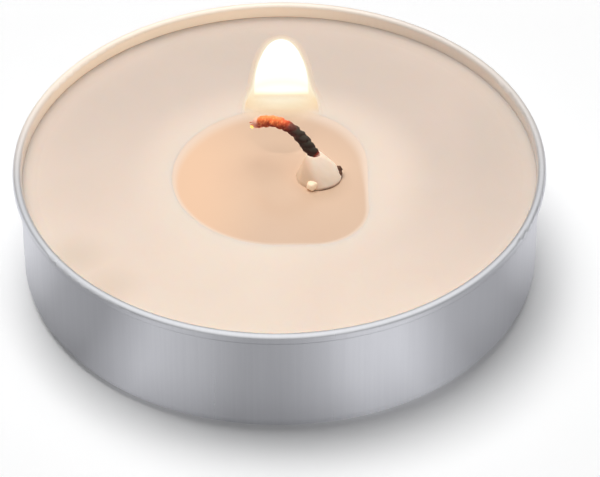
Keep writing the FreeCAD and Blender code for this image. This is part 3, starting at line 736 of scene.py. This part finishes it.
def braid_tree():
    """Geometry nodes that lay three yarns over each other along a curve and char their end."""
    tree, start, end = new_group("braid", "GeometryNodeTree", (
        ("Course", "NodeSocketGeometry", None),
        ("Yarns", "NodeSocketInt", 3),
        ("Crossings", "NodeSocketFloat", 5.2),
        ("Spread", "NodeSocketFloat", 0.14 * MM),
        ("Depth", "NodeSocketFloat", 0.09 * MM),
        ("Yarn Radius", "NodeSocketFloat", 0.35 * MM),
        ("Char Depth", "NodeSocketFloat", 0.4 * MM),
        ("Seed", "NodeSocketFloat", float(SEED)),
        ("Finish", "NodeSocketMaterial", None),
    ), (("Braid", "NodeSocketGeometry"),))
    tree.is_modifier = True
    even = add(tree, "GeometryNodeResampleCurve", {"Curve": start.outputs["Course"], "Count": BRAID_STEPS})
    factor = tree.nodes.new("GeometryNodeSplineParameter").outputs["Factor"]
    marked = add(tree, "GeometryNodeStoreNamedAttribute", {
        "Geometry": even.outputs[0], "Name": "along", "Value": factor}, data_type="FLOAT", domain="POINT")
    yarns = add(tree, "GeometryNodeDuplicateElements", {
        "Geometry": marked.outputs[0], "Amount": start.outputs["Yarns"]}, domain="SPLINE")
    lag = maths(tree, "DIVIDE", yarns.outputs["Duplicate Index"], start.outputs["Yarns"])
    turns = maths(tree, "MULTIPLY_ADD", factor, start.outputs["Crossings"], lag)
    angle = maths(tree, "MULTIPLY", turns, 2 * math.pi)
    fullness = add(tree, "ShaderNodeFloatCurve", {"Value": factor})
    curve = fullness.mapping.curves[0]
    for place, value in WICK_FULLNESS:
        curve.points.new(place, value)
    curve.points[0].location = (0.0, FULLNESS_AT_START)
    curve.points[-1].location = (1.0, FULLNESS_AT_END)
    fullness.mapping.update()
    full = fullness.outputs["Value"]
    once = maths(tree, "SINE", angle)
    across = maths(tree, "MULTIPLY", maths(tree, "MULTIPLY", once, start.outputs["Spread"]), full)
    twice = maths(tree, "SINE", maths(tree, "MULTIPLY", angle, 2.0))
    deep = maths(tree, "MULTIPLY", maths(tree, "MULTIPLY", twice, start.outputs["Depth"]), full)
    normal = tree.nodes.new("GeometryNodeInputNormal").outputs["Normal"]
    tangent = tree.nodes.new("GeometryNodeInputTangent").outputs["Tangent"]
    side = add(tree, "ShaderNodeVectorMath", {0: normal, 1: tangent}, operation="CROSS_PRODUCT").outputs[0]
    to_side = add(tree, "ShaderNodeVectorMath", {0: side, "Scale": across}, operation="SCALE").outputs[0]
    to_front = add(tree, "ShaderNodeVectorMath", {0: normal, "Scale": deep}, operation="SCALE").outputs[0]
    offset = add(tree, "ShaderNodeVectorMath", {0: to_side, 1: to_front}, operation="ADD").outputs[0]
    woven = add(tree, "GeometryNodeSetPosition", {"Geometry": yarns.outputs["Geometry"], "Offset": offset})
    sized = add(tree, "GeometryNodeSetCurveRadius", {"Curve": woven.outputs[0], "Radius": full})
    ring = add(tree, "GeometryNodeCurvePrimitiveCircle", {
        "Resolution": YARN_SIDES, "Radius": start.outputs["Yarn Radius"]})
    skin = add(tree, "GeometryNodeCurveToMesh", {
        "Curve": sized.outputs[0], "Profile Curve": ring.outputs[0], "Fill Caps": True})
    # The burnt length is rough; the waxed length is not.
    along = add(tree, "GeometryNodeInputNamedAttribute", {"Name": "along"}, data_type="FLOAT")
    burnt = ease(tree, along.outputs["Attribute"], 0.34, 0.4)
    char = add(tree, "ShaderNodeTexNoise", {
        "W": start.outputs["Seed"], "Scale": 3000.0, "Detail": 3.0, "Roughness": 0.6}, noise_dimensions="4D")
    centred = maths(tree, "SUBTRACT", char.outputs["Fac"], 0.5)
    lift = maths(tree, "MULTIPLY", centred, start.outputs["Char Depth"])
    raised = maths(tree, "MULTIPLY", lift, burnt)
    outward = tree.nodes.new("GeometryNodeInputNormal").outputs["Normal"]
    crust = add(tree, "ShaderNodeVectorMath", {0: outward, "Scale": raised}, operation="SCALE").outputs[0]
    charred = add(tree, "GeometryNodeSetPosition", {"Geometry": skin.outputs[0], "Offset": crust})
    smooth = add(tree, "GeometryNodeSetShadeSmooth", {"Geometry": charred.outputs[0]})
    plain = add(tree, "GeometryNodeRealizeInstances", {"Geometry": smooth.outputs[0]})
    done = add(tree, "GeometryNodeSetMaterial", {
        "Geometry": plain.outputs[0], "Material": start.outputs["Finish"]})
    tree.links.new(done.outputs[0], end.inputs["Braid"])
    return tree


def make_wick():
    """Braid the wick along its course and turn it into a plain mesh."""
    line = bpy.data.curves.new("wick_course", "CURVE")
    line.dimensions = "3D"
    course = wick_course()
    spline = line.splines.new("POLY")
    spline.points.add(len(course) - 1)
    for knot, place in zip(spline.points, course):
        knot.co = (*place, 1.0)
    carrier = bpy.data.objects.new("wick_course", line)
    bpy.context.collection.objects.link(carrier)
    modifier = carrier.modifiers.new("braid", "NODES")
    modifier.node_group = braid_tree()
    inputs = {item.name: item.identifier for item in modifier.node_group.interface.items_tree
              if item.in_out == "INPUT"}
    modifier[inputs["Finish"]] = cotton_material()
    evaluated = carrier.evaluated_get(bpy.context.evaluated_depsgraph_get())
    mesh = bpy.data.meshes.new_from_object(evaluated)
    piece = bpy.data.objects.new("wick_braid", mesh)
    piece.visible_shadow = False
    bpy.context.collection.objects.link(piece)
    bpy.data.objects.remove(carrier)
    finish_piece(piece, "wick")


def value_between(stops, place):
    """Give the value at a place, on straight lines between (place, value) stops."""
    if place <= stops[0][0]:
        return stops[0][1]
    for (low, first), (high, second) in zip(stops, stops[1:]):
        if place <= high:
            share = (place - low) / (high - low)
            return first + (second - first) * share
    return stops[-1][1]


def make_wick_foot():
    """The swollen, wax-soaked foot: a lumpy cone that leans with the wick, drawn out a little at its left."""
    bm = bmesh.new()
    levels = [POOL_FLOOR - WAX_FLAT, -0.5 * MM] + [FOOT_WATERLINE + step * 0.04 * MM for step in range(10)]
    levels += [0.24 * MM + step * 0.08 * MM for step in range(23)]
    rings = []
    for up in levels:
        above = max(0.0, up / FOOT_HEIGHT)
        radius = value_between(FOOT_PROFILE, up)
        over_pool = max(up, FOOT_WATERLINE) + WAX_FLAT - POOL_LEVEL
        ring = round_ring(bm, wick_point(FOOT_LEAN * above ** 1.5, up), radius, FOOT_SIDES)
        for index, corner in enumerate(ring):
            turn = 2 * math.pi * index / FOOT_SIDES
            drawn_out = max(0.0, math.cos(turn - WICK_BEARING)) ** 2 * math.exp(-over_pool / FOOT_FADE)
            lumps = math.sin(3 * turn + 1.3 + 2 * above) + 0.7 * math.sin(5 * turn + 4 + 7 * above)
            grain = math.sin(11 * turn + 13 * above) * math.sin(9 * above + 2)
            outward = Vector((math.cos(turn), math.sin(turn), 0.0))
            corner.co += outward * (FOOT_DRAWN_OUT * drawn_out + FOOT_LUMPS * lumps + FOOT_GRAIN * grain) * MM
        rings.append(ring)
    top = [bm.verts.new(wick_point(0.52 * MM, FOOT_HEIGHT + 0.05 * MM))]
    bottom = [bm.verts.new(wick_point(0.0, POOL_FLOOR - WAX_FLAT))]
    bridge_rings(bm, [bottom] + rings + [top])
    piece = mesh_piece("wick_foot", bm, foot_material())
    piece.visible_shadow = False
    finish_piece(piece, "wick")


def add_lump(bm, middle, radii, turn, seed):
    """Add a small uneven lump, closed all round, with its radii in millimetres."""
    size = Matrix.Diagonal((*[radius * MM for radius in radii], 1.0))
    shape = Matrix.Translation(middle) @ Matrix.Rotation(turn, 4, "Z") @ size
    lump = bmesh.ops.create_icosphere(bm, subdivisions=3, radius=1.0)
    for corner in lump["verts"]:
        x, y, z = corner.co
        broad = 0.12 * math.sin(4 * x + seed) * math.sin(5 * y + 2 * seed)
        corner.co *= 1 + broad + 0.06 * math.sin(9 * z + seed)
        corner.co = shape @ corner.co


def make_crumbs():
    """A crumb of soot on the right of the foot, and a glowing bead at its front that is a painted highlight.
    """
    for name, material, lumps in (("soot_crumb", soot_material(), SOOT_LUMPS),
                                  ("glint_bead", glint_bead_material(), (GLINT_BEAD_LUMP,))):
        bm = bmesh.new()
        for middle, radii, turn, seed in lumps:
            add_lump(bm, Vector([value * MM for value in middle]), radii, turn, seed)
        finish_piece(mesh_piece(name, bm, material), "wick")


def add_thread(bm, points, start, end):
    """Add a thin round thread through points, tapered from one radius to another, closed at both ends."""
    rings = []
    for index, place in enumerate(points):
        share = index / (len(points) - 1)
        ahead = points[min(index + 1, len(points) - 1)] - points[max(index - 1, 0)]
        turn = ahead.to_track_quat("Z", "Y")
        radius = start + (end - start) * share
        rings.append([bm.verts.new(place + turn @ Vector((radius * math.cos(a), radius * math.sin(a), 0.0)))
                      for a in [math.pi * step / 4 for step in range(8)]])
    first = [bm.verts.new(points[0])]
    last = [bm.verts.new(points[-1])]
    bridge_rings(bm, [first] + rings + [last])


def make_frayed_tip():
    """Loose burnt fibres at the end of the wick, and a spark on a thread of its own."""
    course = wick_course()
    tip = course[-1]
    onward = (course[-1] - course[-3]).normalized()
    aside = onward.cross(Vector((0.0, 0.0, 1.0))).normalized()
    over = aside.cross(onward)
    bm = bmesh.new()
    for sideways, lift, length in FIBRES:
        root = tip + (aside * sideways + over * lift) * MM - onward * 0.25 * MM
        bend = root + onward * (0.25 + 0.5 * length) * MM
        end = root + (onward * (0.25 + length) + over * 0.25 * lift - aside * 0.3 * sideways) * MM
        add_thread(bm, [root, bend, end], 0.075 * MM, 0.035 * MM)
    finish_piece(mesh_piece("frayed_tip", bm, fibre_material()), "wick")
    bm = bmesh.new()
    spark = tip + (onward * 0.5 - over * 0.1) * MM
    add_thread(bm, [tip - onward * 0.1 * MM, tip + onward * 0.2 * MM, spark], 0.03 * MM, 0.02 * MM)
    add_lump(bm, spark, (0.14, 0.12, 0.14), 0.0, 4.0)
    finish_piece(mesh_piece("spark", bm, spark_material()), "wick")


def make_flame_shell(name, profile, material):
    """One skin of the flame, turned from its heights and half widths, closed at both ends."""
    bm = bmesh.new()
    rings = []
    low, high = profile[0][0], profile[-1][0]
    for step in range(FLAME_STEPS + 1):
        height = high - (high - low) * (1 - step / FLAME_STEPS) ** 2
        radius = value_between(profile, height)
        rings.append(round_ring(bm, FLAME_AXIS + Vector((0.0, 0.0, height)), radius, FLAME_SIDES))
    bridge_rings(bm, rings)
    piece = mesh_piece(name, bm, material)
    piece.visible_shadow = False
    piece.visible_glossy = False
    finish_piece(piece, "flame")


def wider_profile(gap, flare):
    """Give the skirt's outline again, wider by a gap, and by a further flare towards its lower end."""
    outline = []
    for height, radius in SKIRT_PROFILE[1:-1]:
        low = min(1.0, max(0.0, (FLARE_TOP - height) / FLARE_DROP))
        outline.append((height, radius + gap + flare * low ** 1.5))
    return [(SKIRT_PROFILE[0][0], 0.0)] + outline + [(SKIRT_PROFILE[-1][0] + gap, 0.0)]


def make_flame():
    """A white core in a cream skirt, and two faint skins, the veil and the halo, that soften their edge."""
    core = glow_material("flame_core", CORE_STRENGTH, CORE_SLANT, CORE_TINT, CORE_OPACITY)
    skirt = glow_material("flame_skirt", SHELL_STRENGTH, SHELL_SLANT, SKIRT_TINT, SKIRT_OPACITY)
    veil = glow_material("flame_veil", SHELL_STRENGTH, SHELL_SLANT, VEIL_TINT, VEIL_OPACITY)
    halo = glow_material("flame_halo", SHELL_STRENGTH, SHELL_SLANT, HALO_TINT, HALO_OPACITY)
    make_flame_shell("flame_core", CORE_PROFILE, core)
    make_flame_shell("flame_skirt", SKIRT_PROFILE, skirt)
    make_flame_shell("flame_veil", wider_profile(VEIL_GAP, VEIL_FLARE), veil)
    make_flame_shell("flame_halo", wider_profile(HALO_GAP, HALO_FLARE), halo)


def dress_node(node, material):
    """Give a modelled solid its finish."""
    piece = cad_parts[node]
    piece.data.materials.clear()
    piece.data.materials.append(material)


# The stage


def make_floor():
    """A plain white floor that keeps the candle's shadow, and shows in metal as light and dark panels."""
    material, tree, shader, place = new_material("floor_white")
    path = tree.nodes.new("ShaderNodeLightPath")
    axes = add(tree, "ShaderNodeSeparateXYZ", {"Vector": place})
    azimuth = maths(tree, "ARCTAN2", axes.outputs["X"], maths(tree, "MULTIPLY", axes.outputs["Y"], -1.0))
    share = maths(tree, "MULTIPLY_ADD", azimuth, 0.5 / math.pi, 0.5)
    stops = [(0.5 + turn / 360, (level, level, level * 1.03, 1.0)) for turn, level in PANELS]
    shade = blend(tree, path.outputs["Is Glossy Ray"], WHITE, ramp(tree, share, stops))
    dimmed = blend(tree, path.outputs["Is Glossy Ray"], shade, FLOOR_DIMMED, "MULTIPLY")
    mirrored = maths(tree, "MULTIPLY", path.outputs["Is Glossy Ray"], FLOOR_MIRRORED)
    wire(tree, shader, Base_Color=dimmed, Emission_Color=shade,
         Emission_Strength=maths(tree, "MULTIPLY_ADD", path.outputs["Is Camera Ray"], FLOOR_SEEN, mirrored))
    shader.inputs["Roughness"].default_value = 1.0
    shader.inputs["Specular IOR Level"].default_value = 0.0
    bm = bmesh.new()
    bmesh.ops.create_grid(bm, x_segments=1, y_segments=1, size=FLOOR_HALF)
    floor = mesh_piece("floor", bm, material)


def make_lamp(name, azimuth, elevation, level):
    """A square soft lamp that faces the candle, lights it to a level, and isn't mirrored in the metal."""
    lamp = bpy.data.lights.new(name, "AREA")
    lamp.shape = "RECTANGLE"
    lamp.size = LAMP_SIZE
    lamp.size_y = LAMP_SIZE
    lamp.energy = math.pi ** 2 * level * LAMP_DISTANCE ** 2
    turn = math.radians(azimuth)
    tilt = math.radians(elevation)
    way = Vector((math.sin(turn) * math.cos(tilt), -math.cos(turn) * math.cos(tilt), math.sin(tilt)))
    light = bpy.data.objects.new(name, lamp)
    light.location = way * LAMP_DISTANCE
    light.rotation_euler = way.to_track_quat("Z", "Y").to_euler()
    light.visible_glossy = False
    bpy.context.collection.objects.link(light)


def make_world():
    """Even soft light from all round, white behind everything, and brighter overhead in the metal."""
    world = bpy.data.worlds.new("studio")
    world.use_nodes = True
    bpy.context.scene.world = world
    tree = world.node_tree
    back = tree.nodes["Background"]
    back.inputs["Color"].default_value = WHITE
    around = tree.nodes.new("ShaderNodeTexCoord").outputs["Generated"]
    way = add(tree, "ShaderNodeSeparateXYZ", {"Vector": around})
    overhead = ease(tree, way.outputs["Z"], -0.1, 1.0, 0.3, 1.05)
    path = tree.nodes.new("ShaderNodeLightPath")
    seen = maths(tree, "MAXIMUM", path.outputs["Is Camera Ray"], path.outputs["Is Transmission Ray"])
    mirrored = maths(tree, "MULTIPLY", path.outputs["Is Glossy Ray"], overhead)
    strength = maths(tree, "MAXIMUM", seen, mirrored)
    tree.links.new(maths(tree, "MAXIMUM", strength, AMBIENT), back.inputs["Strength"])


def make_camera():
    """The photograph's own view."""
    lens = bpy.data.cameras.new("camera")
    lens.lens = CAMERA_LENS
    lens.sensor_width = CAMERA_SENSOR
    lens.clip_start = 0.01
    back = Vector((0.0, -math.cos(CAMERA_ELEVATION), math.sin(CAMERA_ELEVATION)))
    up = Vector((0.0, math.sin(CAMERA_ELEVATION), math.cos(CAMERA_ELEVATION)))
    middle = Vector((0.0, 0.0, CAMERA_HEIGHT))
    place = middle + back * CAMERA_DISTANCE
    target = middle + Vector((CAMERA_AIM_RIGHT, 0.0, 0.0)) + up * CAMERA_AIM_UP
    forward = (target - place).normalized()
    right = forward.cross(Vector((0.0, 0.0, 1.0))).normalized()
    upward = right.cross(forward)
    rolled_right = right * math.cos(CAMERA_ROLL) + upward * math.sin(CAMERA_ROLL)
    rolled_up = upward * math.cos(CAMERA_ROLL) - right * math.sin(CAMERA_ROLL)
    camera = bpy.data.objects.new("camera", lens)
    turn = Matrix((rolled_right, rolled_up, -forward)).transposed()
    camera.matrix_world = Matrix.Translation(place) @ turn.to_4x4()
    bpy.context.collection.objects.link(camera)
    bpy.context.scene.camera = camera


make_camera()
make_floor()
make_world()
for name, azimuth, elevation, level in LAMPS:
    make_lamp(name, azimuth, elevation, level)

dress_node("cup", aluminium_material())
dress_node("wax", wax_material())
make_pool()
dress_node("wick_tab", tinplate_material())
make_wick()
make_wick_foot()
make_crumbs()
make_frayed_tip()
make_flame()

bpy.context.scene.view_settings.view_transform = "Standard"
